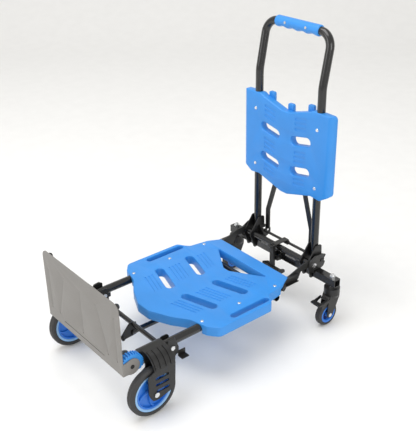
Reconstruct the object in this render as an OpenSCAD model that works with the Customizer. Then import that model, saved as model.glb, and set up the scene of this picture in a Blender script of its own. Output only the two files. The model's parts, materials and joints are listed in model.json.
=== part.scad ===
// Folding platform cart: a deck on two rails with a fold-down toe plate and folding front wheels,
// and a handle that carries the rear casters and turns about a latched hinge.
// Units are millimetres. X is the width, -Y the front (toe plate), +Z up; the floor is z = 0.

/* [Overall] */
// Toe plate face to the handle's hinge axis
base_length = 741; // [700:1:900]
// Distance between the two base rails, centre to centre
rail_spacing = 338; // [318:1:400]
// Height of the rail centres above the floor
rail_height = 168; // [165:1:200]
// Height of the top of the grip above the floor
handle_height = 915; // [860:1:1100]

/* [Tubes] */
// Outer diameter of the base rails and the handle tube
tube_d = 25; // [22:0.5:28]
// Wall of every tube
tube_wall = 1.5; // [1:0.1:2.5]
// Distance between the handle's legs, centre to centre
leg_spacing = 264; // [250:1:280]
// How far the handle's top leans back from its legs
handle_lean = 30; // [10:1:60]
// Height of the straight leg, from the floor to the bend
leg_bend_height = 745; // [720:1:790]
// Side of the square rear beam
beam_side = 25; // [20:0.5:28]
// Length of the rear beam
beam_length = 492; // [470:1:560]

/* [Front wheels] */
// Radius of a front wheel
wheel_r = 75; // [65:1:80]
// Width of a front tyre
wheel_w = 26; // [20:1:30]
// Distance of a front wheel's centre outboard of its rail
wheel_offset = 39; // [37:1:45]
// Radius where the tyre sits on the hub
wheel_hub_r = 61; // [50:1:64]
// Diameter of the front axles
axle_d = 10; // [8:0.5:12]

/* [Casters] */
// Radius of a caster wheel
caster_r = 40; // [34:1:42]
// Width of a caster tyre
caster_w = 24; // [18:1:26]
// How far the caster wheel trails behind its kingpin
caster_trail = 22; // [15:1:28]
// Distance of each kingpin from the middle of the cart
caster_x = 226; // [215:1:232]

/* [Deck] */
// Thickness of the moulded deck
deck_t = 32; // [28:1:34]
// Half width of the deck at its wings
deck_half_w = 228; // [222:1:240]
// Plastic above the rails
deck_cover = 3.5; // [3:0.5:6]
// Width of the slots in the deck
deck_slot_w = 28; // [20:1:32]
// Length of the slots in the deck
deck_slot_l = 122; // [90:1:128]
// Width of the strap slots in the wings
wing_slot_w = 20; // [14:1:22]

/* [Back panel] */
// Half width of the back panel
panel_half_w = 190; // [175:1:210]
// Thickness of the back panel
panel_t = 26; // [24:1:30]
// Width of the panel's slots
panel_slot_w = 28; // [20:1:30]
// Length of the panel's slots
panel_slot_l = 82; // [60:1:86]

/* [Toe plate] */
// Width of the toe plate
toe_w = 386; // [380:1:387]
// Height of the toe plate
toe_h = 221; // [180:1:230]
// Thickness of the toe plate's sheet
toe_t = 2.5; // [2:0.1:4]

/* [Grip] */
// Length of the grip
grip_l = 176; // [120:1:180]
// Outer diameter of the grip
grip_d = 34; // [30:1:38]

/* [Fits] */
// Running clearance on the radius of a turning fit
run_gap = 0.05; // [0.02:0.01:0.1]
// Clearance on the radius of a fixed bolt or tube in its hole
fixed_gap = 0.1; // [0.05:0.05:0.3]
// Gap between pieces that move past each other
pass_gap = 1; // [0.5:0.1:2]

/* [Hidden] */

$fn = 64;
few = 32;                          // facets of a small round
eps = 0.01;

// Shared frame
tube_r = tube_d / 2;
rail_x = rail_spacing / 2;
leg_x = leg_spacing / 2;
leg_back = 30;                     // legs behind the hinge axis
rear_reach = leg_back + handle_lean + grip_d / 2;
y_front = -(base_length + rear_reach) / 2;
y_hinge = y_front + base_length;
z_hinge = rail_height + 14;
y_leg = y_hinge + leg_back;
deck_top = rail_height + tube_r + deck_cover;

// Sheet and bolt sizes
sheet = 3;
cheek_t = 4;
pin_d = 8;
head_h = 4;

// Toe plate hinge and the folding front wheels
toe_pivot_y = y_front + 30;
toe_cam_r = 38;
toe_lug_r = 24;
toe_bottom = rail_height - 20;
toe_x = toe_w / 2;
sleeve_y0 = toe_pivot_y + toe_cam_r + 2;
sleeve_l = 72;
sleeve_y1 = sleeve_y0 + sleeve_l;
sleeve_r = tube_r + 9.5;
wheel_y = y_front + wheel_r;
wheel_x = rail_x + wheel_offset;
plate_x = wheel_x + wheel_w / 2 + 8;       // inner face of a bracket's outer plate
inner_plate_x = wheel_x - wheel_w / 2 - 5; // outer face of a bracket's inner plate

// Saddles that carry the front cross tube
saddle_y0 = sleeve_y1 + 4;
saddle_l = 32;
saddle_y = saddle_y0 + saddle_l / 2;
cross_d = 14;
cross_y = saddle_y;
cross_z = rail_height - 27.5;
rail_y0 = sleeve_y0 - 1;
rail_y1 = y_hinge - 140;

// Rear hinge
arm_x = leg_x + tube_r + 6.5;              // inner face of a hinge arm
hinge_bolt_d = 10;
hinge_tube_d = 20;
notch_back = 36;                           // latch rod behind the hinge axis
notch_up = 5;                              // latch rod above the hinge axis
latch_d = 9;
latch_travel = 12.5;
beam_back = 18;                            // beam behind the hinge axis
beam_drop = 33;                            // beam below the hinge axis
beam_y = y_hinge + beam_back;
beam_z = z_hinge - beam_drop;
cheek_out_x = arm_x - pass_gap - cheek_t;  // inner face of a foot bracket's outer cheek
cheek_in_x = leg_x - tube_r - 1 - cheek_t; // inner face of its inner cheek
pedal_y = y_hinge - 14;
pedal_z = z_hinge - 34;

// ---------------------------------------------------------------- helpers

// Puts a left-hand piece on its side: left is +X, right is its mirror image
module on_side(side) mirror([side < 0 ? 1 : 0, 0, 0]) children();
module both() for (s = [1, -1]) on_side(s) children();

// Cylinders along X and Y, from a start to an end
module rod_x(d, x0, x1) translate([x0, 0, 0]) rotate([0, 90, 0]) cylinder(d = d, h = x1 - x0);
module rod_y(d, y0, y1) translate([0, y0, 0]) rotate([-90, 0, 0]) cylinder(d = d, h = y1 - y0);
module pipe_x(d, wall, x0, x1) difference() {
    rod_x(d, x0, x1);
    rod_x(d - 2 * wall, x0 - 1, x1 + 1);
}
module pipe_y(d, wall, y0, y1) difference() {
    rod_y(d, y0, y1);
    rod_y(d - 2 * wall, y0 - 1, y1 + 1);
}

// A sheet lying in the Y-Z plane, from x0 to x1, with its outline given as [y, z]
module sheet_yz(x0, x1) translate([x0, 0, 0]) rotate([90, 0, 90]) linear_extrude(x1 - x0) children();
// A sheet lying in the X-Z plane, from y0 to y1, with its outline given as [x, z]
module sheet_xz(y0, y1) translate([0, y1, 0]) rotate([90, 0, 0]) linear_extrude(y1 - y0) children();

function unit(v) = v / norm(v);
// Points of the arc that rounds the corner b of the path a-b-c with radius r
function corner(a, b, c, r, n = 6) =
    let (u = unit(a - b), v = unit(c - b), half = acos(u * v) / 2,
         reach = r / tan(half), mid = b + unit(u + v) * r / sin(half),
         p = b + u * reach, q = b + v * reach,
         a0 = atan2(p[1] - mid[1], p[0] - mid[0]), a1 = atan2(q[1] - mid[1], q[0] - mid[0]),
         turn = (a1 - a0 + 540) % 360 - 180)
    [for (i = [0:n]) mid + r * [cos(a0 + turn * i / n), sin(a0 + turn * i / n)]];
// Outline through [x, y, radius] corners, each rounded to its radius
function rounded(pts) = let (n = len(pts), xy = [for (p = pts) [p[0], p[1]]])
    [for (i = [0:n - 1]) each pts[i][2] <= 0 ? [xy[i]]
        : corner(xy[(i + n - 1) % n], xy[i], xy[(i + 1) % n], pts[i][2])];
// A half outline on the +X side, closed by its mirror image
function mirrored(half) = concat(half, [for (i = [len(half) - 1:-1:0]) [-half[i][0], half[i][1], half[i][2]]]);

// A slot with round ends, centred, along X
module slot_2d(l, w) {
    square([l - w, w], center = true);
    for (s = [1, -1]) translate([s * (l - w) / 2, 0]) circle(d = w, $fn = few);
}
// Hexagon bolt head or nut along +X from x
module hex_x(across, h, x) translate([x, 0, 0]) rotate([0, 90, 0]) cylinder(d = across / cos(30), h = h, $fn = 6);

// ---------------------------------------------------------------- base frame

module base_rail(side) color("#1b1b1d") on_side(side) translate([rail_x, 0, rail_height]) difference() {
    pipe_y(tube_d, tube_wall, rail_y0, rail_y1);
    for (y = deck_screw_ys) translate([0, y, 0]) cylinder(d = screw_d + 2 * fixed_gap, h = tube_d);
    translate([0, saddle_y, saddle_bolt_z - rail_height])
        rod_x(pin_d + 2 * fixed_gap, -tube_d, tube_d);
    for (y = arm_bolt_ys) translate([0, y, 0]) rod_x(pin_d + 2 * fixed_gap, -tube_d, tube_d);
}
screw_d = 5;
saddle_bolt_z = rail_height - 5;
deck_screw_ys = [y_hinge - 447, y_hinge - 308, y_hinge - 166];
arm_bolt_ys = [rail_y1 - 12, rail_y1 - 62];

module front_cross_tube() color("#1b1b1d") translate([0, cross_y, cross_z])
    pipe_x(cross_d, tube_wall, -(rail_x - tube_r - 2), rail_x - tube_r - 2);

rear_cross_d = 20;
rear_cross_y = rail_y1 - 37;
module rear_cross_tube() color("#1b1b1d")
    translate([0, rear_cross_y, rail_height - tube_r - rear_cross_d / 2 - fixed_gap])
    pipe_x(rear_cross_d, tube_wall, -(rail_x + tube_r), rail_x + tube_r);

// The centre rail hangs below both cross tubes, held by a plate at each end
centre_d = 16;
centre_z = cross_z - cross_d / 2 - centre_d / 2 - 11.5;
centre_y0 = cross_y - 8;
centre_y1 = rear_cross_y + 4;
module centre_rail() color("#1b1b1d") translate([0, 0, centre_z]) pipe_y(centre_d, tube_wall, centre_y0, centre_y1);

module centre_gussets() color("#1b1b1d") {
    rear_z = rail_height - tube_r - rear_cross_d / 2 - fixed_gap;
    difference() {
        sheet_yz(-sheet / 2, sheet / 2) polygon(rounded([
            [cross_y + 10, cross_z + 4, 3], [cross_y - 12, cross_z + 9, 6], [cross_y - 46, centre_z - 2, 6],
            [cross_y - 40, centre_z - 14, 6], [cross_y - 6, centre_z - 12, 3], [cross_y + 10, centre_z - 10, 3]]));
        translate([0, cross_y, cross_z]) rod_x(cross_d + 2 * fixed_gap, -5, 5);
        translate([0, 0, centre_z]) rod_y(centre_d + 2 * fixed_gap, centre_y0 - 0.2, centre_y1);
    }
    translate([0, cross_y - 39, centre_z - 7]) pipe_x(12, 3, sheet / 2, sheet / 2 + 5);
    difference() {
        sheet_yz(-sheet / 2, sheet / 2) polygon([
            [rear_cross_y - 14, rear_z], [rear_cross_y + 14, rear_z], [rear_cross_y + 14, centre_z - 10],
            [rear_cross_y - 14, centre_z - 10]]);
        translate([0, rear_cross_y, rear_z]) rod_x(rear_cross_d + 2 * fixed_gap, -5, 5);
        translate([0, 0, centre_z]) rod_y(centre_d + 2 * fixed_gap, centre_y0, centre_y1 + 0.2);
    }
}

// Two cheeks on each rail, with the inner one reaching down to hold the cross tube
saddle_in_x = rail_x - tube_r - 2 - sheet;
saddle_out_x = rail_x + tube_r + 2;
module rail_saddles() color("#232325") both() difference() {
    union() {
        sheet_yz(saddle_in_x, saddle_in_x + sheet) polygon(rounded([
            [saddle_y0, rail_height + 16, 10], [saddle_y0, cross_z - 6, 6], [saddle_y, cross_z - 14, 4],
            [saddle_y0 + saddle_l, cross_z - 6, 6], [saddle_y0 + saddle_l, rail_height + 16, 10]]));
        sheet_yz(saddle_out_x, saddle_out_x + sheet) polygon(rounded([
            [saddle_y0, rail_height + 20, 6], [saddle_y0, rail_height - 28, 6],
            [saddle_y0 + saddle_l, rail_height - 28, 6], [saddle_y0 + saddle_l, rail_height + 20, 6]]));
        for (x = [rail_x - tube_r - 2, rail_x + tube_r])
            translate([x, saddle_y0 + 2, rail_height - 4]) cube([2, saddle_l - 4, 14]);
    }
    translate([rail_x, 0, rail_height]) rod_y(tube_d + 2 * fixed_gap, saddle_y0 - 1, saddle_y0 + saddle_l + 1);
    translate([0, saddle_y, saddle_bolt_z]) rod_x(pin_d + 2 * fixed_gap, 0, rail_x + 60);
    translate([0, cross_y, cross_z]) rod_x(cross_d + 2 * fixed_gap, 0, rail_x - tube_r - 2);
}

lock_t = 3;
lock_x = saddle_out_x + sheet + 0.5;
module saddle_bolts() color("#c9ccd0") both() translate([0, saddle_y, saddle_bolt_z]) {
    rod_x(pin_d, saddle_in_x - 6, lock_x + lock_t + 0.5);
    hex_x(13, 5, saddle_in_x - 6);
    hex_x(13, head_h, lock_x + lock_t + 0.5);
}

// ---------------------------------------------------------------- deck

deck_front = y_hinge - 546;
deck_rear = y_hinge - 111;
function deck_outline() = rounded(mirrored([
    [deck_half_w - 70, deck_rear, 6], [deck_half_w - 48, deck_rear - 42, 20], [rail_x + 22, deck_rear - 106, 8],
    [deck_half_w - 24, deck_rear - 118, 6], [deck_half_w, deck_rear - 132, 14], [deck_half_w, deck_front + 104, 22],
    [deck_half_w - 30, deck_front + 80, 12], [rail_x - 28, deck_front + 66, 14], [92, deck_front + 32, 20],
    [26, deck_front + 2, 24]]));

deck_slot_x = 84;
deck_slot_angle = 17;
deck_slot_ys = [deck_rear - 289, deck_rear - 171];
module deck_slots_2d() for (s = [1, -1]) mirror([s < 0 ? 1 : 0, 0]) {
    for (y = deck_slot_ys) translate([deck_slot_x, y]) rotate(deck_slot_angle) slot_2d(deck_slot_l, deck_slot_w);
    translate([deck_half_w - 23, deck_rear - 198]) rotate(90) slot_2d(144, wing_slot_w);
}
rear_slot_l = 236;
rear_slot_y = deck_rear - 47;
function rear_slot_outline() = rounded([
    [-rear_slot_l / 2, rear_slot_y, 3], [rear_slot_l / 2, rear_slot_y, 3],
    [12, rear_slot_y - 66, 12], [-12, rear_slot_y - 66, 12]]);

// Groups of shallow grooves run beside the slots
groove_deep = 1;
groove_w = 3;
module deck_grooves() for (s = [1, -1], g = [[deck_slot_ys[0] - 34, 3], [deck_slot_ys[0] + 36, 4],
        [deck_slot_ys[1] + 36, 4]], i = [0:g[1] - 1])
    mirror([s < 0 ? 1 : 0, 0, 0])
    translate([deck_slot_x, g[0] + i * 12, deck_top - groove_deep]) rotate(deck_slot_angle)
    linear_extrude(groove_deep + 1) slot_2d(84, groove_w);

screw_sink = 2;                    // how deep a deck screw's head is sunk
module deck() color("#4f93e6") difference() {
    translate([0, 0, deck_top - deck_t]) linear_extrude(deck_t) difference() {
        polygon(deck_outline());
        deck_slots_2d();
        polygon(rear_slot_outline());
    }
    // channels that seat the deck on its rails
    both() translate([rail_x, 0, rail_height]) {
        rod_y(tube_d + 2 * fixed_gap, deck_front - 1, deck_rear + 1);
        translate([-tube_r - fixed_gap, deck_front - 1, -deck_t])
            cube([tube_d + 2 * fixed_gap, deck_rear - deck_front + 2, deck_t]);
        for (y = deck_screw_ys) translate([0, y, 0]) {
            cylinder(d = screw_d + 2 * fixed_gap, h = deck_t);
            translate([0, 0, deck_top - screw_sink - rail_height]) cylinder(d = 12.4, h = screw_sink + 1);
        }
    }
    // room for the hinge arms and their bolts
    both() {
        translate([arm_x - 1, arm_y0 - 2, deck_top - deck_t - 1])
            cube([cheek_t + 3, deck_rear - arm_y0 + 5, rail_height + 12.7 - deck_top + deck_t + 1]);
        translate([arm_x - 1, rail_y1 + 8, deck_top - deck_t - 1])
            cube([cheek_t + 13, deck_rear - rail_y1, rail_height + 12.7 - deck_top + deck_t + 1]);
        for (y = arm_bolt_ys) translate([0, y, rail_height]) rod_x(16, arm_x - 8, rail_x + tube_r + 10);
    }
    // relief over the rear cross tube
    translate([-deck_half_w, rear_cross_y - rear_cross_d / 2 - 1, deck_top - deck_t - 1])
        cube([2 * deck_half_w, rear_cross_d + 2, 1 + rail_height - tube_r - deck_top + deck_t + 0.4]);
    deck_grooves();
}

module deck_screws() color("#d6d9dd") both() for (y = deck_screw_ys) translate([rail_x, y, 0]) {
    translate([0, 0, rail_height + tube_r - 6]) cylinder(d = screw_d, h = deck_top - rail_height - tube_r + 6);
    translate([0, 0, deck_top - screw_sink]) cylinder(d = 12, h = screw_sink);
}

// ---------------------------------------------------------------- hinge arms

arm_y0 = rail_y1 - 72;
arm_head_r = 19;
// The arms pass above the beam when the handle is laid back, so their undersides step up near the hinge
arm_under = z_hinge - beam_back + beam_side / 2 + 1;
arm_step_y = y_hinge - beam_drop - beam_side / 2 - 5;
module hinge_arm(side) color("#3a3a3c") on_side(side) difference() {
    union() {
        sheet_yz(arm_x, arm_x + cheek_t) {
            polygon(rounded([[arm_y0, rail_height + 12, 2], [arm_y0, rail_height - 12, 4],
                [rail_y1 - 20, rail_height - 12, 0], [rail_y1 + 10, rail_height - 16, 10], [arm_step_y - 12, rail_height - 14, 6],
                [arm_step_y, arm_under, 4], [y_hinge, arm_under, 0], [y_hinge, z_hinge + arm_head_r, 0],
                [y_hinge - 40, z_hinge + arm_head_r - 1, 20], [deck_rear + 8, rail_height + 12.2, 10]]));
            translate([y_hinge, z_hinge]) circle(r = arm_head_r);
        }
        for (z = [rail_height - 14, rail_height + 10.2])
            translate([arm_x + cheek_t - eps, rail_y1 + 12, z]) cube([10, arm_step_y - 18 - rail_y1 - 12, 2]);
    }
    translate([0, y_hinge, z_hinge]) rod_x(hinge_bolt_d + 2 * run_gap, arm_x - 1, arm_x + cheek_t + 1);
    for (y = arm_bolt_ys) translate([0, y, rail_height]) rod_x(pin_d + 2 * fixed_gap, arm_x - 1, rail_x);
}

module arm_bolts() color("#2c2c2e") both() for (y = arm_bolt_ys) translate([0, y, rail_height]) {
    rod_x(pin_d, arm_x - 3, rail_x + tube_r + 2);
    hex_x(12, 3, arm_x - 3);
    translate([rail_x + tube_r, 0, 0]) rod_x(13, 0, 3);
}

// ---------------------------------------------------------------- toe plate

lug_x = rail_x - 3;
module toe_hinge_lugs() color("#232325") both() difference() {
    union() {
        sheet_yz(lug_x, lug_x + 6) polygon(rounded([
            [rail_y0 - 0.2, rail_height + 11, 2], [rail_y0 - 0.2, rail_height - 11, 2],
            [toe_pivot_y - 11, rail_height - 11, 9], [toe_pivot_y - 11, rail_height + 11, 9]]));
        translate([rail_x, 0, rail_height]) rod_y(tube_d - 2 * tube_wall - 2 * fixed_gap, rail_y0 - 0.2, rail_y0 + 12);
    }
    translate([0, toe_pivot_y, rail_height]) rod_x(pin_d + 2 * run_gap, lug_x - 1, lug_x + 7);
}

toe_top = toe_bottom + toe_h;
rib_top = toe_top - 64;
rib_bottom = toe_bottom + 34;
toe_in_x = rail_x - 22;
// One pressed rib: a half-round ridge on the toe plate's back
module toe_rib(xt, xb) {
    a = [xt, rib_top];
    b = [xb, rib_bottom];
    along = b - a;
    translate([a[0], y_front + toe_t, a[1]]) rotate([0, 90 - atan2(along[1], along[0]) - 90, 0])
        intersection() {
            union() {
                rotate([0, 90, 0]) cylinder(r = 3.5, h = norm(along), $fn = few);
                sphere(r = 3.5, $fn = few);
                translate([norm(along), 0, 0]) sphere(r = 3.5, $fn = few);
            }
            translate([-5, -toe_t + 1, -5]) cube([norm(along) + 10, 5, 10]);
        }
}
module toe_plate() color("#9c9894") {
    difference() {
        union() {
            sheet_xz(y_front, y_front + toe_t) polygon(rounded([
                [toe_x, toe_top, 22], [toe_x, toe_bottom, 5], [-toe_x, toe_bottom, 5], [-toe_x, toe_top, 22]]));
            toe_rib(0, 0);
            for (s = [1, -1]) {
                toe_rib(s * 82, s * 127);
                toe_rib(s * 168, s * 169);
            }
            both() {
                sheet_yz(toe_x - toe_t, toe_x) toe_lug_2d();
                sheet_yz(toe_in_x - toe_t, toe_in_x) toe_lug_2d();
            }
            // return flange along the bottom edge
            translate([-toe_in_x + 4, y_front, toe_bottom]) cube([2 * toe_in_x - 8, 14, toe_t]);
        }
        both() translate([0, toe_pivot_y, rail_height]) rod_x(pin_d + 2 * fixed_gap, toe_in_x - 5, toe_x + 1);
        translate([0, y_front, rail_height]) rotate([90, 0, 0]) translate([0, 0, -toe_t - 0.5])
            linear_extrude(toe_t + 1) slot_2d(208, 4);
    }
}
module toe_lug_2d() {
    translate([toe_pivot_y, rail_height]) circle(r = toe_lug_r);
    polygon([[y_front, toe_bottom], [y_front, rail_height + toe_lug_r - 7],
             [toe_pivot_y, rail_height + toe_lug_r], [toe_pivot_y + 2, rail_height - toe_lug_r + 0.1],
             [y_front + 14, toe_bottom]]);
}

// Toothed quadrants on the toe plate's hinge that drive the wheel brackets
cam_x = rail_x + 4.5;
cam_w = toe_x - toe_t - cam_x - 1;
cam_teeth = 14;
module toe_cams() color("#3f86e0") both() difference() {
    sheet_yz(cam_x, cam_x + cam_w) translate([toe_pivot_y, rail_height]) difference() {
        union() {
            circle(r = toe_cam_r - 4);
            for (i = [0:cam_teeth - 1]) rotate(-20 + i * 170 / cam_teeth)
                translate([toe_cam_r - 5, -2]) square([5, 4]);
        }
        // flat where the cam bolts to the toe plate
        translate([-toe_cam_r - 30, -60]) square([30 + toe_cam_r - (toe_pivot_y - y_front - toe_t) + 0.2, 120]);
        polygon([[-60, -toe_lug_r + 4], [60, -toe_lug_r + 4], [60, -60], [-60, -60]]);
    }
    translate([0, toe_pivot_y, rail_height]) rod_x(pin_d + 2 * fixed_gap, 0, toe_x);
}

module toe_pivots() color("#3a3a3c") both() translate([0, toe_pivot_y, rail_height]) {
    rod_x(pin_d, toe_in_x - 6, toe_x + 0.5);
    hex_x(12, 3, toe_in_x - 6);
    translate([toe_x, 0, 0]) rod_x(12, 0, 1.2);
}

bumper_z = toe_top - 17;
bumper_l = toe_pivot_y - y_front - toe_t - tube_r - 0.5;
module toe_bumpers() color("#141414") both() translate([rail_x, y_front + toe_t, bumper_z])
    rotate([-90, 0, 0]) {
        cylinder(d1 = 13, d2 = 17, h = bumper_l - 4);
        for (i = [0:2]) translate([0, 0, 3 + i * 3]) cylinder(d = 17, h = 1.2);
        translate([0, 0, bumper_l - 4]) cylinder(d1 = 17, d2 = 12, h = 4);
    }

// ---------------------------------------------------------------- front wheels

shoulder_r = plate_x + sheet - (rail_x + 21);
shoulder_z = rail_height + sleeve_r - shoulder_r;
wheel_slots_z = [wheel_r + 51, wheel_r + 31, wheel_r + 10];
module wheel_bracket(side) color("#2a2a2c") on_side(side) difference() {
    union() {
        translate([rail_x, 0, rail_height]) rod_y(2 * sleeve_r, sleeve_y0, sleeve_y1);
        // shoulder: a quarter round from the sleeve's top to the outer plate
        sheet_xz(sleeve_y0 + 2, sleeve_y1 - 1) difference() {
            union() {
                intersection() {
                    translate([rail_x + 21, shoulder_z]) circle(r = shoulder_r);
                    translate([rail_x + 21, shoulder_z]) square(60);
                }
                translate([rail_x, rail_height + sleeve_r - sheet]) square([21, sheet]);
            }
            translate([rail_x + 21, shoulder_z]) circle(r = shoulder_r - sheet);
        }
        // pressed ribs across the shoulder
        for (y = [sleeve_y0 + 6, sleeve_y0 + 22, sleeve_y0 + 40, sleeve_y0 + 56])
            sheet_xz(y, y + 5) intersection() {
                difference() {
                    translate([rail_x + 21, shoulder_z]) circle(r = shoulder_r + 2.5);
                    translate([rail_x + 21, shoulder_z]) circle(r = shoulder_r - sheet);
                }
                translate([rail_x + 21, shoulder_z]) rotate(8) polygon([[0, 0], [80, 0], [80, 80], [16, 80]]);
            }
        sheet_yz(plate_x, plate_x + sheet) outer_plate_2d();
        sheet_yz(inner_plate_x - sheet, inner_plate_x) inner_plate_2d();
        // spacer bosses beside the wheel
        translate([0, wheel_y, wheel_r]) rod_x(18, inner_plate_x - eps, wheel_x - wheel_w / 2 - 0.5);
        translate([0, wheel_y, wheel_r]) rod_x(18, wheel_x + wheel_w / 2 + 0.5, plate_x + eps);
        for (a = [-35, -70, 215]) translate([rail_x, 0, rail_height]) rotate([0, a, 0])
            translate([sleeve_r - 2, sleeve_y0 - 1.2, -2]) cube([2, 3, 4]);
    }
    translate([rail_x, 0, rail_height]) rod_y(tube_d + 2 * run_gap, sleeve_y0 - 5, sleeve_y1 + 1);
    translate([0, wheel_y, wheel_r]) rod_x(axle_d + 2 * fixed_gap, rail_x, plate_x + 10);
}
module outer_plate_2d() difference() {
    polygon(rounded([[sleeve_y0 + 2, shoulder_z + 2, 1], [wheel_y - 24, shoulder_z - 8, 12],
        [wheel_y - 24, wheel_r + 8, 20], [wheel_y - 12, wheel_r - 18, 14], [wheel_y + 8, wheel_r - 18, 10],
        [wheel_y + 62, wheel_r - 4, 16], [sleeve_y1 - 1, shoulder_z + 2, 1]]));
    for (z = wheel_slots_z) translate([wheel_y + 21, z]) slot_2d(44, 9);
}
module inner_plate_2d() difference() {
    polygon(rounded([[sleeve_y0 + 2, rail_height - 4, 2], [sleeve_y0 + 2, rail_height - 26, 6],
        [wheel_y - 20, rail_height - 36, 8], [wheel_y - 14, wheel_r - 14, 12], [wheel_y + 14, wheel_r - 14, 12],
        [sleeve_y1 - 12, rail_height - 26, 10], [sleeve_y1 - 2, rail_height - 4, 2]]));
}

// Axle bolt with its head outboard and a nut inboard
module front_axle(side) color("#c9ccd0") on_side(side) translate([0, wheel_y, wheel_r]) {
    rod_x(axle_d, inner_plate_x - sheet - 7, plate_x + sheet + 1);
    hex_x(16, 6, inner_plate_x - sheet - 7);
    translate([plate_x + sheet, 0, 0]) rod_x(15, 0, 3);
}

spokes = 5;
module front_hub(side) color("#3f86e0") on_side(side) translate([wheel_x, wheel_y, wheel_r]) rotate([0, 90, 0])
    difference() {
        union() {
            rim_ring(wheel_hub_r, wheel_hub_r - 7, wheel_w - 4);
            translate([0, 0, -2]) cylinder(r = wheel_hub_r - 5, h = 4);
            cylinder(r = 15, h = wheel_w - 1, center = true);
            for (i = [0:spokes - 1]) rotate(i * 360 / spokes) curved_spoke();
        }
        cylinder(d = axle_d + 2 * run_gap, h = wheel_w + 2, center = true);
        for (i = [0:spokes - 1]) rotate((i + 0.5) * 360 / spokes) translate([36, 0, 0])
            cylinder(r = 11, h = wheel_w, center = true);
    }
module rim_ring(r1, r0, w) difference() {
    cylinder(r = r1, h = w, center = true);
    cylinder(r = r0, h = w + 1, center = true);
}
spoke_arc_r = 34;
module curved_spoke() translate([0, 0, -8]) linear_extrude(16) intersection() {
    difference() {
        translate([spoke_arc_r, -8]) circle(r = spoke_arc_r + 3);
        translate([spoke_arc_r, -8]) circle(r = spoke_arc_r - 3);
    }
    difference() {
        circle(r = wheel_hub_r - 6);
        circle(r = 13);
    }
    square(80);
}

// A tyre's section: flat tread with round shoulders, turned about its axle
module tyre_ring(r_out, r_in, w, shoulder) rotate_extrude() polygon(rounded([
    [r_in, -w / 2 + 1, 0], [r_in + 2, -w / 2, 0], [r_out, -w / 2, shoulder], [r_out, w / 2, shoulder],
    [r_in + 2, w / 2, 0], [r_in, w / 2 - 1, 0]]));
module front_tyre(side) color("#2b2b2c") on_side(side) translate([wheel_x, wheel_y, wheel_r]) rotate([0, 90, 0])
    tyre_ring(wheel_r, wheel_hub_r + 0.02, wheel_w, 7);

// Levers on the saddle bolts that hook behind the open wheel brackets
module lock_lever(side) color("#2a2a2c") on_side(side) difference() {
    union() {
        sheet_yz(lock_x, lock_x + lock_t) polygon(rounded([
            [saddle_y - 14, rail_height + 20, 6], [saddle_y - 12, rail_height - 30, 6],
            [saddle_y - 4, rail_height - 78, 4], [saddle_y + 6, rail_height - 82, 3],
            [saddle_y + 10, rail_height - 34, 8], [saddle_y + 22, rail_height - 30, 4],
            [saddle_y + 22, rail_height - 10, 6], [saddle_y + 10, rail_height + 22, 6]]));
        // folded tab for the toe of a shoe
        translate([lock_x, saddle_y + 20, rail_height - 44]) cube([20, 24, 3]);
        translate([lock_x, saddle_y + 20, rail_height - 44]) cube([3, 24, 18]);
    }
    translate([0, saddle_y, saddle_bolt_z]) rod_x(pin_d + 2 * run_gap, lock_x - 1, lock_x + lock_t + 1);
}

// ---------------------------------------------------------------- handle

bend_r = 44;
kink_angle = atan(handle_lean / (handle_height - grip_d / 2 - leg_bend_height));
top_length = (handle_height - grip_d / 2 - leg_bend_height) / cos(kink_angle);
leg_foot_z = z_hinge + notch_up + latch_d / 2 + 3;
kink_r = 100;
kink_reach = kink_r * tan(kink_angle / 2);
// A tube's cross-section, swept along straight runs and round bends
module tube_ring() difference() {
    circle(d = tube_d);
    circle(d = tube_d - 2 * tube_wall);
}
module handle_legs() color("#1b1b1d") both() {
    translate([leg_x, y_leg, leg_foot_z]) linear_extrude(leg_bend_height - kink_reach - leg_foot_z) tube_ring();
    translate([leg_x, y_leg + kink_r, leg_bend_height - kink_reach]) rotate([90, 0, -90])
        rotate_extrude(angle = kink_angle) translate([kink_r, 0]) tube_ring();
}
module above_kink() translate([0, y_leg, leg_bend_height]) rotate([-kink_angle, 0, 0]) children();
module handle_uppers() color("#1b1b1d") both() above_kink()
    translate([leg_x, 0, kink_reach]) linear_extrude(top_length - bend_r - kink_reach) tube_ring();
module handle_corners() color("#1b1b1d") both() above_kink()
    translate([leg_x - bend_r, 0, top_length - bend_r]) rotate([90, 0, 0])
        rotate_extrude(angle = 90) translate([bend_r, 0]) tube_ring();
module handle_bar() color("#1b1b1d") above_kink()
    translate([bend_r - leg_x, 0, top_length]) rotate([0, 90, 0]) linear_extrude(2 * (leg_x - bend_r)) tube_ring();

module grip_frame() translate([0, y_leg, leg_bend_height]) rotate([-kink_angle, 0, 0])
    translate([0, 0, top_length]) children();
grip_wave = 4;
module grip() color("#3f86e0") grip_frame() difference() {
    rod_x(grip_d, -grip_l / 2, grip_l / 2);
    rod_x(tube_d + 2 * fixed_gap, -grip_l, grip_l);
    for (i = [-1.5:1.5]) translate([i * grip_l / 4.4, 0, -grip_d / 2 - 9]) rotate([90, 0, 0])
        cylinder(r = 12, h = grip_d + 2, center = true);
    for (s = [1, -1]) translate([s * grip_screw_x, -grip_d / 2 - 1, 0]) rotate([-90, 0, 0])
        cylinder(d = 4.2, h = grip_d / 2);
}
grip_screw_x = 42;
module grip_screws() color("#d6d9dd") grip_frame() for (s = [1, -1])
    translate([s * grip_screw_x, -grip_d / 2 - 1, 0]) rotate([-90, 0, 0]) {
        cylinder(d = 8, h = 1);
        cylinder(d = 4, h = 4);
    }

// ---------------------------------------------------------------- back panel

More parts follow.
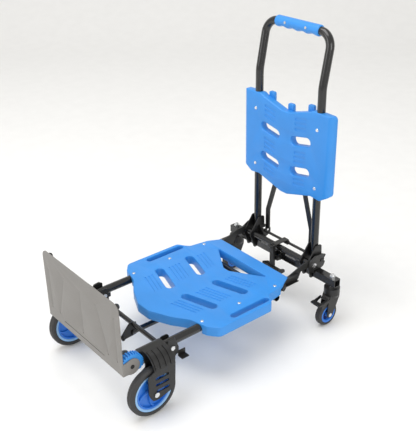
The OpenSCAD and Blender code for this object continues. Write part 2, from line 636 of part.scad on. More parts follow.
panel_y = y_hinge + 15;                       // front face
panel_bottom = z_hinge + 218;
panel_h = 274;
panel_screw_zs = [panel_bottom + 34, panel_bottom + 222];
function panel_outline() = let (t = panel_bottom + panel_h) rounded([
    [panel_half_w, t, 12], [112, t + 2, 14], [96, t - 6, 10], [14, t - 30, 16], [-14, t - 30, 16],
    [-96, t - 6, 10], [-112, t + 2, 14], [-panel_half_w, t, 12],
    [-panel_half_w, panel_bottom + 22, 16], [-152, panel_bottom - 2, 12], [-116, panel_bottom + 2, 10],
    [-14, panel_bottom - 27, 16], [14, panel_bottom - 27, 16], [116, panel_bottom + 2, 10],
    [152, panel_bottom - 2, 12], [panel_half_w, panel_bottom + 22, 16]]);
panel_slot_zs = [panel_bottom + 66, panel_bottom + 166];
panel_top = panel_bottom + panel_h;
hook_xs = [-84, 0, 84];
// A thick moulding with its side edges rounded off, slots through it, and channels for the legs behind
module back_panel() color("#4f9df0") difference() {
    union() {
        intersection() {
            sheet_xz(panel_y, panel_y + panel_t) difference() {
                polygon(panel_outline());
                for (s = [1, -1], z = panel_slot_zs) mirror([s < 0 ? 1 : 0, 0]) translate([66, z]) rotate(11)
                    slot_2d(panel_slot_l, panel_slot_w);
            }
            linear_extrude(2000) polygon(rounded([[-panel_half_w, panel_y, 18], [panel_half_w, panel_y, 18],
                [panel_half_w, panel_y + panel_t, 3], [-panel_half_w, panel_y + panel_t, 3]]));
        }
        for (x = hook_xs) translate([x - 12, panel_y + panel_t - 4, 0]) {
            z0 = panel_top - (x == 0 ? 38 : 20);
            translate([0, 0, z0]) cube([24, 11, panel_top - (x == 0 ? 28 : 10) - z0 + 18]);
        }
    }
    both() {
        translate([leg_x, y_leg, 0]) cylinder(d = tube_d + 2 * fixed_gap, h = 2000);
        translate([leg_x - tube_r - fixed_gap, y_leg, 0]) cube([tube_d + 2 * fixed_gap, 60, 2000]);
        for (z = panel_screw_zs) translate([leg_x, panel_y - 1, z]) rotate([-90, 0, 0])
            cylinder(d = screw_d + 2 * fixed_gap, h = 30);
    }
    // trough for the cross tube
    translate([-leg_x, y_leg + 2 - brace_tube_d / 2 - 0.5, brace_top_z - brace_tube_d / 2 - 1])
        cube([2 * leg_x, 60, brace_tube_d + 2]);
}
module panel_screws() color("#d6d9dd") for (s = [1, -1], z = panel_screw_zs)
    translate([s * leg_x, panel_y, z]) rotate([-90, 0, 0]) {
        cylinder(d = screw_d, h = y_leg - tube_r - panel_y - 0.1);
        translate([0, 0, -1.5]) cylinder(d1 = 8, d2 = 11, h = 1.5);
    }

// ---------------------------------------------------------------- handle foot

brace_x = 100;
brace_top_x = 52;
brace_y = max(y_leg + tube_r, panel_y + panel_t) + 1.5;
brace_w = 16;
brace_t = 6;
brace_bend_z = z_hinge + 84;
brace_top_z = panel_bottom + 26;
brace_foot_z = leg_foot_z - 0.1;
module brace_bars() color("#1f1f21") both() difference() {
    sheet_xz(brace_y, brace_y + brace_t) {
        polygon([[brace_x - brace_w / 2, brace_foot_z], [brace_x + brace_w / 2, brace_foot_z],
                 [brace_x + brace_w / 2, brace_bend_z], [brace_top_x + brace_w / 2, brace_top_z],
                 [brace_top_x - brace_w / 2, brace_top_z], [brace_x - brace_w / 2, brace_bend_z]]);
        translate([brace_top_x, brace_top_z]) circle(d = brace_w);
    }
    translate([brace_top_x, brace_y - 1, brace_top_z]) rotate([-90, 0, 0])
        cylinder(d = 6 + 2 * fixed_gap, h = brace_t + 2);
}
// A tube behind the panel ties the legs together and takes the tops of the braces
brace_tube_d = 16;
module brace_cross_tube() color("#1b1b1d") {
    translate([0, y_leg + 2, brace_top_z]) difference() {
        pipe_x(brace_tube_d, tube_wall, -(leg_x - tube_r), leg_x - tube_r);
        for (s = [1, -1]) translate([s * leg_x, -2, 0]) cylinder(d = tube_d + 2 * fixed_gap, h = 40, center = true);
    }
    boss_y = y_leg + 2 + brace_tube_d / 2 - 0.5;
    for (s = [1, -1]) translate([s * brace_top_x, boss_y, brace_top_z]) rotate([-90, 0, 0]) {
        cylinder(d = 10, h = brace_y - boss_y - 0.05);
        cylinder(d = 6, h = brace_y + brace_t + 1 - boss_y);
        translate([0, 0, brace_y + brace_t + 0.05 - boss_y]) cylinder(d = 11, h = 2);
    }
}

module rear_beam() color("#1b1b1d") translate([0, beam_y, beam_z]) difference() {
    cube([beam_length, beam_side, beam_side], center = true);
    cube([beam_length + 2, beam_side - 2 * 2, beam_side - 2 * 2], center = true);
    for (s = [1, -1]) translate([s * caster_x, 0, 0])
        cylinder(d = stem_d + 2 * fixed_gap, h = beam_side + 2, center = true);
}
stem_d = 10;

// Two cheeks around each leg's foot, which join leg, hinge and beam
module cheek_2d() difference() {
    union() {
        translate([y_hinge, z_hinge]) circle(r = 18);
        polygon(rounded([[y_hinge - 12, z_hinge + 12, 2], [y_leg - 10, z_hinge + 56, 6],
            [y_leg + tube_r + 1, z_hinge + 56, 6], [y_leg + tube_r + 3, z_hinge + 20, 6],
            [y_hinge + notch_back + latch_travel + 11, z_hinge + notch_up + 11, 8],
            [y_hinge + notch_back + latch_travel + 11, z_hinge + notch_up - 11, 8],
            [beam_y + beam_side / 2 + 6, beam_z - beam_side / 2 - 6, 6],
            [beam_y - beam_side / 2 - 6, beam_z - beam_side / 2 - 6, 6], [y_hinge - 12, z_hinge - 12, 2]]));
    }
    translate([beam_y, beam_z]) square(beam_side + 2 * fixed_gap, center = true);
    translate([y_hinge + notch_back + latch_travel / 2, z_hinge + notch_up])
        slot_2d(latch_travel + latch_d + 0.6, latch_d + 0.6);
}
module foot_brackets() color("#1f1f21") both() difference() {
    union() {
        sheet_yz(cheek_out_x, cheek_out_x + cheek_t) cheek_2d();
        sheet_yz(cheek_in_x, cheek_in_x + cheek_t) cheek_2d();
        // gusset towards the middle
        sheet_xz(y_leg - 10, y_leg - 7) polygon([[cheek_in_x + eps, z_hinge + 30], [cheek_in_x - 34, z_hinge - 10],
            [cheek_in_x - 34, beam_z + beam_side / 2 + 0.1], [cheek_in_x + eps, beam_z + beam_side / 2 + 0.1]]);
        // welds between the cheeks and the leg
        for (x = [cheek_in_x + cheek_t - eps, cheek_out_x - 1.2])
            translate([x, y_leg - 4, leg_foot_z + 4]) cube([1.2 + eps, 8, 40]);
    }
    translate([leg_x, y_leg, leg_foot_z - 5]) cylinder(d = tube_d + 2 * fixed_gap, h = 200);
    translate([0, y_hinge, z_hinge]) rod_x(hinge_tube_d + 2 * fixed_gap, 0, cheek_in_x + cheek_t + 1);
    translate([0, y_hinge, z_hinge]) rod_x(hinge_bolt_d + 2 * fixed_gap, cheek_in_x, arm_x);
}

// Plates outside the arms, hooked at the back to hold the ends of the latch rod
sector_x = arm_x + cheek_t + pass_gap;
sector_t = 3.5;
finger_r = notch_back + latch_travel + 6;
module sector_plates() color("#6f6f72") both() difference() {
    sheet_yz(sector_x, sector_x + sector_t) translate([y_hinge, z_hinge]) difference() {
        polygon(rounded([[-20, 14, 14], [10, 30, 10], [finger_r - 8, notch_up + 19, 5], [finger_r + 2, notch_up + 15, 3],
            [finger_r - 4, notch_up + 7, 2], [notch_back, notch_up + 7, 0], [notch_back, notch_up - 7, 0],
            [finger_r, notch_up - 7, 3], [finger_r - 8, -beam_drop + beam_side / 2 + 2, 6],
            [beam_back, -beam_drop + 2, 2], [4, -beam_drop + 2, 2], [-20, -14, 14]]));
        translate([notch_back, notch_up]) circle(d = 14, $fn = few);
    }
    translate([0, y_hinge, z_hinge]) rod_x(hinge_bolt_d + 2 * fixed_gap, arm_x, arm_x + 20);
    translate([0, beam_y, beam_z]) cube([beam_length, beam_side + 0.2, beam_side + 0.2], center = true);
}

module hinge_tube() color("#1b1b1d") translate([0, y_hinge, z_hinge]) difference() {
    rod_x(hinge_tube_d, -cheek_out_x, cheek_out_x);
    for (s = [1, -1]) on_side(s) rod_x(hinge_bolt_d + 2 * fixed_gap, cheek_out_x - 30, cheek_out_x + 1);
}
module hinge_bolts() color("#c9ccd0") both() translate([0, y_hinge, z_hinge]) {
    rod_x(hinge_bolt_d, cheek_out_x - 28, sector_x + sector_t + 0.05);
    translate([sector_x + sector_t + 0.05, 0, 0]) rod_x(17, 0, 5);
}

// Plates that stand on the beam, carry the braces' feet and guide the latch rod
module brace_feet() color("#1f1f21") both() {
    difference() {
        sheet_yz(brace_x - 2, brace_x + 2) polygon(rounded([
            [y_leg - 6.9, beam_z + beam_side / 2 + 0.05, 0], [beam_y + beam_side / 2, beam_z + beam_side / 2 + 0.05, 0],
            [y_hinge + notch_back + latch_travel + 10, z_hinge - 8, 6],
            [y_hinge + notch_back + latch_travel + 10, z_hinge + notch_up + 7.4, 3],
            [y_leg - 6.9, z_hinge + notch_up + 7.4, 0]]));
        translate([brace_x, 0, 0]) sheet_yz(-3, 3)
            translate([y_hinge + notch_back + latch_travel / 2, z_hinge + notch_up])
            slot_2d(latch_travel + latch_d + 0.6, latch_d + 0.6);
    }
    // rivets low on the braces
    translate([brace_x, brace_y, z_hinge + 61]) rotate([90, 0, 0]) cylinder(d = 10, h = 1.5);
}

spring_x0 = 36;
spring_x1 = 80;
spring_y = y_hinge + 2;
spring_z = z_hinge - hinge_tube_d / 2 - 5.2;
spring_turns = 14;
module latch_springs() color("#b9bcc0") both() translate([0, spring_y, spring_z]) {
    rod_x(4, spring_x0 - 6, spring_x1 + 6);
    for (i = [0:spring_turns - 1]) translate([spring_x0 + (i + 0.5) * (spring_x1 - spring_x0) / spring_turns, 0, 0])
        rotate([0, 90, 0]) rotate_extrude() translate([3.2, 0]) circle(d = 1.5, $fn = 16);
    for (x = [spring_x0 - 3, spring_x1]) rod_x(9, x, x + 3);
}

// The latch rod and the strap that pulls it
strap_z = z_hinge + hinge_tube_d / 2 + 4;
strap_y0 = pedal_y - 26;
module latch_rod() color("#55504c") {
    translate([0, y_hinge + notch_back, z_hinge + notch_up]) rod_x(latch_d, -(arm_x - 0.3), arm_x - 0.3);
    both() translate([0, y_hinge + notch_back, z_hinge + notch_up]) rod_x(latch_d - 1, 0, sector_x + sector_t + 2);
    difference() {
        translate([-10, strap_y0, strap_z]) cube([20, y_hinge + notch_back + 2 - strap_y0, 3]);
        translate([-6, strap_y0 + 6, strap_z - 1]) cube([12, 16, 5]);
    }
    difference() {
        union() {
            translate([0, y_hinge + notch_back, z_hinge + notch_up]) rod_x(latch_d + 6, -10, 10);
            translate([-10, y_hinge + notch_back - 3, z_hinge + notch_up]) cube([20, 6, strap_z - z_hinge - notch_up + 1]);
        }
        translate([0, y_hinge + notch_back, z_hinge + notch_up]) rod_x(latch_d - eps, -11, 11);
    }
}

// Ears on the front of the beam, in which the pedal turns
module pedal_bracket() color("#1f1f21") difference() {
    union() {
        for (x = [-14, 11]) sheet_yz(x, x + 3) polygon(rounded([
            [beam_y - beam_side / 2 - fixed_gap, beam_z + 10, 0], [pedal_y - 6, pedal_z + 8, 6],
            [pedal_y - 6, pedal_z - 8, 6], [beam_y - beam_side / 2 - fixed_gap, beam_z - 12, 0]]));
        translate([0, pedal_y, pedal_z]) {
            rod_x(6, -17, 17);
            hex_x(10, 3, 14);
            hex_x(10, 3, -17);
        }
    }
}
pedal_w = 76;
lever_y0 = pedal_y - 16;
module release_pedal() color("#2a2a2c") difference() {
    union() {
        // upright channel, open to the rear
        translate([-8, lever_y0, pedal_z - 36]) cube([16, 2, strap_z + 1 - pedal_z + 30]);
        for (x = [-8, 6]) translate([x, lever_y0, pedal_z - 36]) cube([2, 10, strap_z - 3 - pedal_z + 36]);
        translate([0, pedal_y, pedal_z]) for (x = [-8, 6]) rod_x(16, x, x + 2);
        for (x = [-8, 6]) translate([x, lever_y0 + 2, pedal_z - 8]) cube([2, 16, 16]);
        // tongue through the strap
        translate([-4, lever_y0, strap_z - 10]) cube([8, 3, 16]);
        // foot bar
        translate([-pedal_w / 2, lever_y0 - 4, pedal_z - 46]) cube([pedal_w, 4.2, 20]);
        translate([-pedal_w / 2, lever_y0 - 4, pedal_z - 46]) cube([pedal_w, 30, 3]);
        for (x = [-pedal_w / 2, pedal_w / 2 - 3]) sheet_yz(x, x + 3) translate([0, 0])
            polygon(rounded([[lever_y0 - 4, pedal_z - 46, 2], [lever_y0 + 26, pedal_z - 46, 4],
                             [lever_y0 + 26, pedal_z - 34, 8], [lever_y0 - 4, pedal_z - 24, 4]]));
    }
    translate([0, pedal_y, pedal_z]) rod_x(6 + 2 * run_gap, -9, 9);
}

// ---------------------------------------------------------------- casters

head_top = beam_z - beam_side / 2 - 8;
head_bottom = head_top - 34;
module caster_kingpins() color("#c9ccd0") both() translate([caster_x, beam_y, 0]) {
    translate([0, 0, head_bottom + 6]) cylinder(d = stem_d, h = beam_z + beam_side / 2 + 12 - head_bottom - 6);
    translate([0, 0, head_top + 1]) cylinder(d = 20, h = beam_z - beam_side / 2 - head_top - 1.05);
    translate([0, 0, beam_z + beam_side / 2 + 0.05]) cylinder(d = 17 / cos(30), h = 7, $fn = 6);
}
caster_y = beam_y - caster_trail;
fork_in = caster_w / 2 + 2;
module caster_fork(side) color("#2f2f31") on_side(side) translate([caster_x, 0, 0]) difference() {
    union() {
        translate([0, beam_y, head_bottom + 12]) cylinder(d = 50, h = head_top - head_bottom - 12);
        translate([0, beam_y, head_bottom]) cylinder(d1 = 40, d2 = 50, h = 12);
        for (s = [1, -1]) translate([s > 0 ? fork_in : -fork_in - 2.5, 0, 0]) sheet_yz(0, 2.5) polygon(rounded([
            [beam_y - 20, head_bottom + 16, 2], [beam_y + 20, head_bottom + 16, 2],
            [beam_y + 18, head_bottom - 2, 8], [caster_y + 11, caster_r - 10, 9], [caster_y - 11, caster_r - 10, 9],
            [caster_y - 8, head_bottom - 10, 12]]));
        for (s = [1, -1]) translate([0, caster_y, caster_r])
            rod_x(14, s > 0 ? caster_w / 2 + 0.5 : -fork_in - eps, s > 0 ? fork_in + eps : -caster_w / 2 - 0.5);
    }
    translate([0, beam_y, head_bottom - 30]) cylinder(d = stem_d + 2 * run_gap, h = 90);
    translate([-fork_in, beam_y - 60, caster_r - 20]) cube([2 * fork_in, 120, head_bottom + 7 - caster_r + 20]);
    translate([0, caster_y, caster_r]) rod_x(axle_d - 2 + 2 * fixed_gap, -40, 40);
}
module caster_axle(side) color("#c9ccd0") on_side(side) translate([caster_x, caster_y, caster_r]) {
    rod_x(axle_d - 2, -fork_in - 7, fork_in + 3.5);
    hex_x(13, 5, -fork_in - 7.5);
    translate([fork_in + 2.5, 0, 0]) rod_x(13, 0, 3);
}
module caster_hub(side) color("#3459b8") on_side(side) translate([caster_x, caster_y, caster_r])
    rotate([0, 90, 0]) difference() {
        union() {
            rim_ring(caster_r - 10, caster_r - 14, caster_w - 3);
            translate([0, 0, -4]) cylinder(r = caster_r - 12, h = 8);
            cylinder(r = 10, h = caster_w, center = true);
            for (i = [0:7]) rotate(i * 45) translate([8, -1.5, -8]) cube([caster_r - 21, 3, 16]);
        }
        cylinder(d = axle_d - 2 + 2 * run_gap, h = caster_w + 2, center = true);
    }
module caster_tyre(side) color("#2b2b2c") on_side(side) translate([caster_x, caster_y, caster_r])
    rotate([0, 90, 0]) tyre_ring(caster_r, caster_r - 10 + 0.02, caster_w, 7);

// Brake lever above the wheel, on a pin across the fork
brake_y = caster_y - 12;
brake_z = head_bottom + 2;
module brake_lever(side) color("#1f1f21") on_side(side) translate([caster_x, 0, 0]) {
    translate([0, brake_y, brake_z]) rod_x(6, -fork_in - 5, fork_in + 5);
    for (s = [1, -1]) translate([s > 0 ? fork_in + 3 : -fork_in - 5, 0, 0]) sheet_yz(0, 2)
        polygon(rounded([[brake_y + 6, brake_z + 5, 4], [brake_y + 6, brake_z - 5, 4],
            [brake_y - 26, brake_z - 18, 2], [brake_y - 26, brake_z - 2, 4]]));
    translate([-fork_in - 5, brake_y - 28, brake_z - 18]) cube([2 * fork_in + 10, 3, 17]);
    translate([-fork_in - 5, brake_y - 40, brake_z - 6]) cube([2 * fork_in + 10, 13, 5]);
}

// ---------------------------------------------------------------- nodes

base_rail(1);  // base_rail_left
base_rail(-1);  // base_rail_right
front_cross_tube();
rear_cross_tube();
centre_rail();
centre_gussets();
rail_saddles();
saddle_bolts();
deck();
deck_screws();
hinge_arm(1);  // hinge_arm_left
hinge_arm(-1);  // hinge_arm_right
arm_bolts();
toe_hinge_lugs();
toe_plate();
toe_cams();
toe_pivots();
toe_bumpers();
wheel_bracket(1);  // wheel_bracket_left
wheel_bracket(-1);  // wheel_bracket_right
front_axle(1);  // front_axle_left
front_axle(-1);  // front_axle_right
front_hub(1);  // front_hub_left
front_hub(-1);  // front_hub_right
front_tyre(1);  // front_tyre_left
front_tyre(-1);  // front_tyre_right
lock_lever(1);  // lock_lever_left
lock_lever(-1);  // lock_lever_right
handle_legs();
handle_uppers();
handle_corners();
handle_bar();
grip();
grip_screws();
back_panel();
panel_screws();
brace_bars();
brace_cross_tube();
rear_beam();
foot_brackets();
sector_plates();
hinge_tube();
hinge_bolts();
brace_feet();
latch_springs();
latch_rod();
pedal_bracket();
release_pedal();
caster_kingpins();
caster_fork(1);  // caster_fork_left
caster_fork(-1);  // caster_fork_right
caster_axle(1);  // caster_axle_left
caster_axle(-1);  // caster_axle_right
caster_hub(1);  // caster_hub_left
caster_hub(-1);  // caster_hub_right
caster_tyre(1);  // caster_tyre_left
caster_tyre(-1);  // caster_tyre_right
brake_lever(1);  // brake_lever_left
brake_lever(-1);  // brake_lever_right
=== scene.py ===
# %% [markdown]
# # A folding platform cart
# The cart is a moulded deck on two round rails, a steel toe plate at the front, two big wheels on folding
# brackets, and a loop handle whose foot carries a square beam with two casters.
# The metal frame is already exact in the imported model, so it stays and only gets its finishes.
# The moulded and rubber pieces are made again here, because their charm is in rounded edges and fine relief.

# %% Load the frame
import json
import math

import bmesh
import bpy
import numpy as np
from mathutils import Matrix, Vector
from mathutils.geometry import tessellate_polygon


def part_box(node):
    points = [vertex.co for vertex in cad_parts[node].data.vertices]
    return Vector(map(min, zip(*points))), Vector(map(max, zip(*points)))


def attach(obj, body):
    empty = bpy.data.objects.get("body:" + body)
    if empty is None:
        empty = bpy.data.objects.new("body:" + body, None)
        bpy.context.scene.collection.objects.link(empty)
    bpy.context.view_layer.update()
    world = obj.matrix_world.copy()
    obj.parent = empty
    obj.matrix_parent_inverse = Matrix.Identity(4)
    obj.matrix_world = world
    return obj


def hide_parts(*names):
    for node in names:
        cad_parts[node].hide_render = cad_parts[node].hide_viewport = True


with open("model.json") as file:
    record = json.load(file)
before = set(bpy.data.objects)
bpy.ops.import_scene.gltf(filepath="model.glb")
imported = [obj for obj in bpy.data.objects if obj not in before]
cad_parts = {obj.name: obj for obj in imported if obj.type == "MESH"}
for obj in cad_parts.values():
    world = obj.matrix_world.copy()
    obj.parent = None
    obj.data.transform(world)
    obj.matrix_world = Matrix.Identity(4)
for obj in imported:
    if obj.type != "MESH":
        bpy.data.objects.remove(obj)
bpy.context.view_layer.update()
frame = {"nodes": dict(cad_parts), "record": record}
nodes = frame["nodes"]
SIDES = (("left", 1), ("right", -1))

# %% [markdown]
# ## Finishes
# Every finish is a small node tree on Object coordinates, so it stays on the piece when the cart folds.
# A base colour varies a little over the surface, the roughness follows a finer noise, and a bump gives the
# grain: moulded plastic is lightly stippled, paint has a faint orange peel, and rubber is dull and dusty.

# %% A finish with varied colour, roughness and grain
def finish(name, colour, rough=0.4, metal=0.0, vary=0.06, grain=400.0, bump=0.05, coat=0.0):
    mat = bpy.data.materials.new(name)
    mat.use_nodes = True
    tree = mat.node_tree
    shader = tree.nodes["Principled BSDF"]
    place = tree.nodes.new("ShaderNodeTexCoord")
    cloud = tree.nodes.new("ShaderNodeTexNoise")
    cloud.inputs["Scale"].default_value = 14
    cloud.inputs["Detail"].default_value = 4
    fine = tree.nodes.new("ShaderNodeTexNoise")
    fine.inputs["Scale"].default_value = grain
    fine.inputs["Detail"].default_value = 3
    for noise in (cloud, fine):
        tree.links.new(place.outputs["Object"], noise.inputs["Vector"])
    ramp = tree.nodes.new("ShaderNodeValToRGB")
    for stop, share in ((0, 1 - vary), (1, 1 + vary)):
        ramp.color_ramp.elements[stop].color = [min(1, c * share) for c in colour] + [1]
    ramp.color_ramp.elements[0].position = 0.35
    ramp.color_ramp.elements[1].position = 0.65
    tree.links.new(cloud.outputs["Fac"], ramp.inputs["Fac"])
    tree.links.new(ramp.outputs["Color"], shader.inputs["Base Color"])
    level = tree.nodes.new("ShaderNodeMapRange")
    level.inputs["To Min"].default_value = max(0.02, rough - 0.07)
    level.inputs["To Max"].default_value = min(1, rough + 0.07)
    tree.links.new(fine.outputs["Fac"], level.inputs["Value"])
    tree.links.new(level.outputs["Result"], shader.inputs["Roughness"])
    relief = tree.nodes.new("ShaderNodeBump")
    relief.inputs["Strength"].default_value = bump
    relief.inputs["Distance"].default_value = 0.0006
    tree.links.new(fine.outputs["Fac"], relief.inputs["Height"])
    tree.links.new(relief.outputs["Normal"], shader.inputs["Normal"])
    shader.inputs["Metallic"].default_value = metal
    shader.inputs["Coat Weight"].default_value = coat
    shader.inputs["Coat Roughness"].default_value = 0.12
    return mat


MATS = {
    "black_tube": finish("gloss black paint", (0.006, 0.006, 0.0062), 0.22, coat=0.35, grain=250, bump=0.02),
    "black_steel": finish("satin black paint", (0.007, 0.007, 0.0072), 0.38, grain=600, bump=0.06),
    "dark_plate": finish("satin charcoal paint", (0.016, 0.016, 0.0155), 0.38, grain=600, bump=0.06),
    "grey_steel": finish("satin grey paint", (0.226, 0.216, 0.204), 0.50, metal=0.15, grain=500, bump=0.03,
                         vary=0.03),
    "blue_plastic": finish("blue moulded plastic", (0.030, 0.252, 0.69), 0.40, grain=900, bump=0.12,
                           vary=0.03),
    "hub_plastic": finish("blue hub plastic", (0.02, 0.16, 0.60), 0.34, grain=700, bump=0.08, vary=0.03),
    "tyre": finish("dark grey tyre rubber", (0.030, 0.030, 0.031), 0.62, grain=1200, bump=0.15),
    "rubber": finish("black rubber", (0.009, 0.009, 0.009), 0.6, grain=1500, bump=0.15),
    "zinc": finish("bright zinc plate", (0.72, 0.73, 0.74), 0.26, metal=1.0, vary=0.08, bump=0.03),
}
navy = finish("navy hub plastic", (0.012, 0.03, 0.16), 0.4, grain=700)
pale_blue = finish("pale blue rim", (0.25, 0.45, 0.72), 0.35, grain=700)
steel_dull = finish("dull plated steel", (0.42, 0.41, 0.40), 0.35, metal=0.9)
print("finishes:", len(bpy.data.materials))

# %% [markdown]
# ## Paint the frame
# Each CAD node keeps its exact shape and takes the finish of its slot in the record.

# %% Give every CAD node its finish
for part in frame["record"]["subparts"]:
    piece = nodes[part["node"]]
    piece.data.materials.clear()
    piece.data.materials.append(MATS[part["material_slot"]])
nodes["latch_rod"].data.materials[0] = MATS["dark_plate"]
print("painted", len(nodes), "nodes")


# %% [markdown]
# ## Helpers for the pieces made here
# A finished piece sits at the origin with its place in its mesh. It rides on its body, and it may stand for a
# CAD node.

# %% Hand a piece over to the frame
def hand_over(obj, body, slot, *stands_for):
    obj.data.transform(obj.matrix_world)
    obj.matrix_world = Matrix.Identity(4)
    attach(obj, body)
    if stands_for:
        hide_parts(*stands_for)
    return obj


def new_piece(name, bm, *mats, smooth=40):
    mesh = bpy.data.meshes.new(name)
    bmesh.ops.recalc_face_normals(bm, faces=bm.faces)
    bm.to_mesh(mesh)
    bm.free()
    for mat in mats:
        mesh.materials.append(mat)
    obj = bpy.data.objects.new(name, mesh)
    bpy.context.scene.collection.objects.link(obj)
    mesh.shade_smooth()
    mesh.set_sharp_from_angle(angle=math.radians(smooth))
    return obj


def baked(obj, name=None):
    """The object with its modifiers applied, as a plain mesh."""
    bpy.context.view_layer.update()
    graph = bpy.context.evaluated_depsgraph_get()
    mesh = bpy.data.meshes.new_from_object(obj.evaluated_get(graph))
    plain = bpy.data.objects.new(name or obj.name + "_piece", mesh)
    plain.matrix_world = obj.matrix_world.copy()
    bpy.context.scene.collection.objects.link(plain)
    bpy.data.objects.remove(obj)
    return plain


# %% [markdown]
# ## Outlines
# The deck and the back panel are flat mouldings. Their outlines are corners with a radius each, so one helper
# rounds a list of corners, and another makes a slot with round ends.

# %% Rounded corners and slots
def rounded(corners, steps=8):
    out = []
    count = len(corners)
    for i, (x, y, r) in enumerate(corners):
        b = Vector((x, y))
        if r <= 0:
            out.append(b)
            continue
        a = Vector(corners[i - 1][:2])
        c = Vector(corners[(i + 1) % count][:2])
        u, v = (a - b).normalized(), (c - b).normalized()
        half = math.acos(max(-1, min(1, u.dot(v)))) / 2
        mid = b + (u + v).normalized() * r / math.sin(half)
        p, q = b + u * r / math.tan(half) - mid, b + v * r / math.tan(half) - mid
        turn = p.angle_signed(q)
        out += [mid + Matrix.Rotation(-turn * k / steps, 2) @ p for k in range(steps + 1)]
    return out


def mirrored(half):
    return half + [(-x, y, r) for x, y, r in reversed(half)]


def slot_outline(x, y, length, width, angle=0.0, steps=10):
    turn = Matrix.Rotation(angle, 2)
    reach = (length - width) / 2
    pts = []
    for side in (1, -1):
        for k in range(steps + 1):
            t = math.pi * (k / steps - 0.5)
            pts.append(Vector((side * (reach + math.cos(t) * width / 2), side * math.sin(t) * width / 2)))
    return [turn @ p + Vector((x, y)) for p in pts]


# %% A moulding: a filled outline with holes and rounded edges
def inset(loop, by):
    """The loop moved to its left by a small distance."""
    out = []
    for i, p in enumerate(loop):
        along = (loop[(i + 1) % len(loop)] - loop[i - 1]).normalized()
        out.append(p + Vector((-along.y, along.x)) * by)
    return out


def moulding(name, outline, holes, low, high, edge, upright=False):
    """Fills the outline between the heights low and high; upright stands it in X-Z, heights along Y."""
    loops = []
    for i, loop in enumerate([outline] + holes):
        loop = [p for k, p in enumerate(loop) if (p - loop[k - 1]).length > 1e-5]
        area = sum(a.cross(b) for a, b in zip(loop, loop[1:] + loop[:1]))
        loops.append(loop if (area > 0) == (i == 0) else loop[::-1])
    curl = [math.radians(a) for a in (0, 30, 60, 90)]
    levels = [(edge * (1 - math.sin(t)), low + edge * (1 - math.cos(t))) for t in curl]
    levels += [(by, low + high - h) for by, h in reversed(levels)]
    bm = bmesh.new()
    rings = []
    for by, h in levels:
        rings.append([[bm.verts.new((p.x, h, p.y) if upright else (p.x, p.y, h)) for p in inset(loop, by)]
                      for loop in loops])
    for one, two in zip(rings, rings[1:]):
        for low_loop, high_loop in zip(one, two):
            for i in range(len(low_loop)):
                bm.faces.new((low_loop[i - 1], low_loop[i], high_loop[i], high_loop[i - 1]))
    flat = [[p.to_3d() for p in inset(loop, edge)] for loop in loops]
    corners = tessellate_polygon(flat)
    for ring in (rings[0], rings[-1]):
        verts = [v for loop in ring for v in loop]
        for tri in corners:
            if len(set(tri)) == 3:
                bm.faces.new([verts[i] for i in tri])
    return new_piece(name, bm)


def cut(piece, tool):
    """Takes the tool's shape out of the piece."""
    mod = piece.modifiers.new("cut", "BOOLEAN")
    mod.operation = "DIFFERENCE"
    mod.solver = "EXACT"
    mod.object = tool
    name = piece.name
    piece.name = name + "_blank"
    out = baked(piece, name)
    bpy.data.objects.remove(tool)
    return out


# %% [markdown]
# ## The deck
# A blow-moulded slab that lies over both rails: pointed at the front, wide at its wings and stepped in at the
# rear, where the casters pass when the handle is laid back. The outline is filled with its slots left open,
# and its edges are rolled. Fine bars are then cut into the top beside the slots for grip.

# %% The deck's outline and slots
d0, d1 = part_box("deck")
front, rear, wing, top = d0.y, d1.y, d1.x, d1.z
rail_x = (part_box("base_rail_left")[0].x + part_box("base_rail_left")[1].x) / 2
deck_edge = mirrored([
    (wing - 0.070, rear, 0.006), (wing - 0.048, rear - 0.042, 0.020), (rail_x + 0.022, rear - 0.106, 0.008),
    (wing - 0.024, rear - 0.118, 0.006), (wing, rear - 0.132, 0.014), (wing, front + 0.104, 0.022),
    (wing - 0.030, front + 0.080, 0.012), (rail_x - 0.028, front + 0.066, 0.014),
    (0.092, front + 0.032, 0.020), (0.026, front + 0.002, 0.024)])
slot_x = 0.084
slot_ys = (rear - 0.289, rear - 0.171)
slant = math.radians(17)
deck_holes = []
for side in (1, -1):
    deck_holes += [slot_outline(side * slot_x, y, 0.122, 0.028, side * slant) for y in slot_ys]
    deck_holes.append(slot_outline(side * (wing - 0.023), rear - 0.198, 0.144, 0.020, math.pi / 2))
hole_y = rear - 0.047
deck_holes.append(rounded([(-0.118, hole_y, 0.003), (0.118, hole_y, 0.003), (0.012, hole_y - 0.066, 0.012),
                           (-0.012, hole_y - 0.066, 0.012)]))
deck = moulding("deck_moulding", rounded(deck_edge), deck_holes, d0.z, top, 0.0024)
print("deck blank:", len(deck.data.polygons), "faces")


# %% [markdown]
# The grip bars repeat, so Geometry Nodes set one bar on a short line of points for each group, and the result
# is cut out of the deck in one go.

